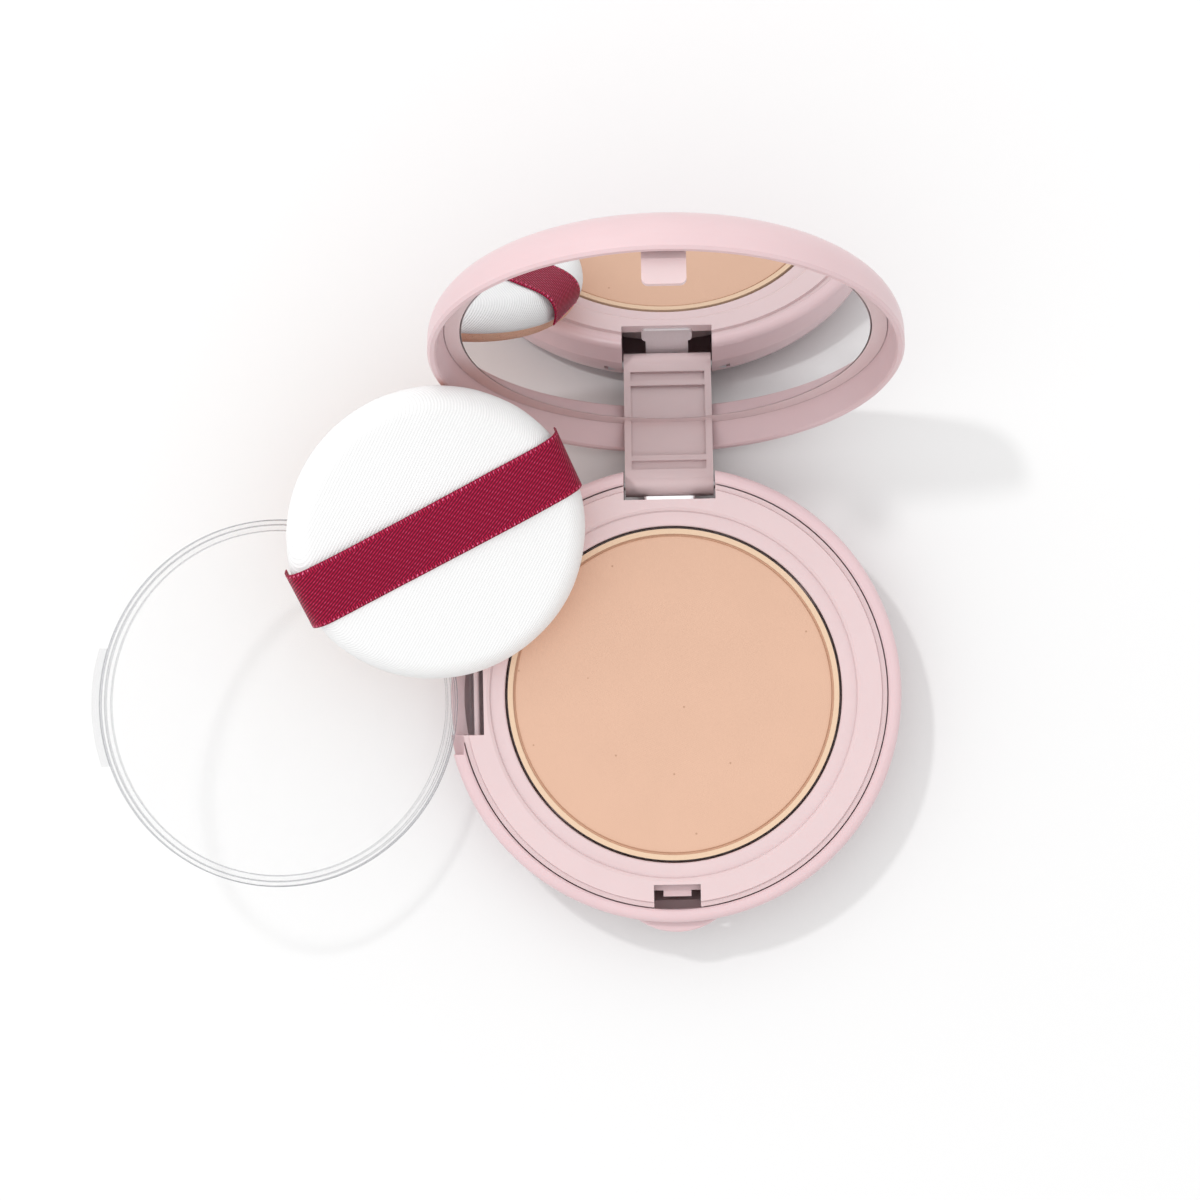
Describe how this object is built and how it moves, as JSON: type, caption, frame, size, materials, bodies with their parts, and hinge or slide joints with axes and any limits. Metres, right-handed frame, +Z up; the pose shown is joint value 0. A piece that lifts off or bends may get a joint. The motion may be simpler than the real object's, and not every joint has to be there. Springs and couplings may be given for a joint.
{
  "type": "powder compact",
  "caption": "Round pressed powder compact, lid with mirror standing open, clear hinged inner cover swung out, and a ribbon-backed puff leaning on it.",
  "frame": {"origin": "middle of the base's flat underside", "axes": "+Z up, +Y towards the lid hinge, the push button faces -Y"},
  "size_m": [0.1384, 0.1191, 0.0763],
  "materials": {
    "pink_plastic": "satin",
    "inner_pink_plastic": "satin",
    "clear_plastic": "polished",
    "mirror_glass": "polished",
    "pan_metal": "satin",
    "pressed_powder": "matte",
    "steel": "satin",
    "adhesive": "matte",
    "white_cloth": "matte",
    "sponge": "matte",
    "foam": "matte",
    "ribbon_satin": "satin",
    "thread": "matte"
  },
  "bodies": {
    "base": {"base_shell": "pink_plastic", "base_frame": "inner_pink_plastic", "powder_pan": "pan_metal", "pressed_powder": "pressed_powder", "pan_adhesive": "adhesive", "lid_hinge_pin": "steel", "cover_hinge_pin": "steel", "hinge_spring_plate": "steel", "latch_spring": "steel"},
    "button": {"latch_button": "pink_plastic"},
    "lid": {"lid_shell": "pink_plastic", "lid_inner_frame": "inner_pink_plastic", "mirror": "mirror_glass", "mirror_adhesive": "adhesive"},
    "inner_cover": {"clear_cover": "clear_plastic"},
    "puff_carrier": {"ribbon_stitching": "thread"},
    "puff": {"puff_cover": "white_cloth", "puff_foam": "foam", "puff_sponge": "sponge", "puff_ribbon": "ribbon_satin"}
  },
  "joints": [
    {"name": "lid_hinge", "type": "hinge", "parent": "base", "child": "lid", "pos_m": [0, 0.037, 0.007], "axis": [1, 0, 0], "range_deg": [0, 110.5]},
    {"name": "cover_hinge", "type": "hinge", "parent": "base", "child": "inner_cover", "pos_m": [-0.0346, 0, 0.0116], "axis": [0, 1, 0], "range_deg": [0, 158]},
    {"name": "button_press", "type": "slide", "parent": "base", "child": "button", "axis": [0, 1, 0], "range_m": [0, 0.0012], "stiffness_N_per_m": 400, "deforming": ["latch_spring"]},
    {"name": "puff_clears_lid", "type": "slide", "parent": "base", "child": "puff_carrier", "axis": [0, -0.4327, 0.9015], "range_m": [0, 0.268]},
    {"name": "puff_clears_cover", "type": "slide", "parent": "puff_carrier", "child": "puff", "axis": [0, 0, 1], "range_m": [0, 0.276]}
  ],
  "couplings": [
    {"joint": "puff_clears_lid", "follows": "lid_hinge", "m_per_rad": 0.1387},
    {"joint": "puff_clears_cover", "follows": "cover_hinge", "m_per_rad": 0.1}
  ]
}
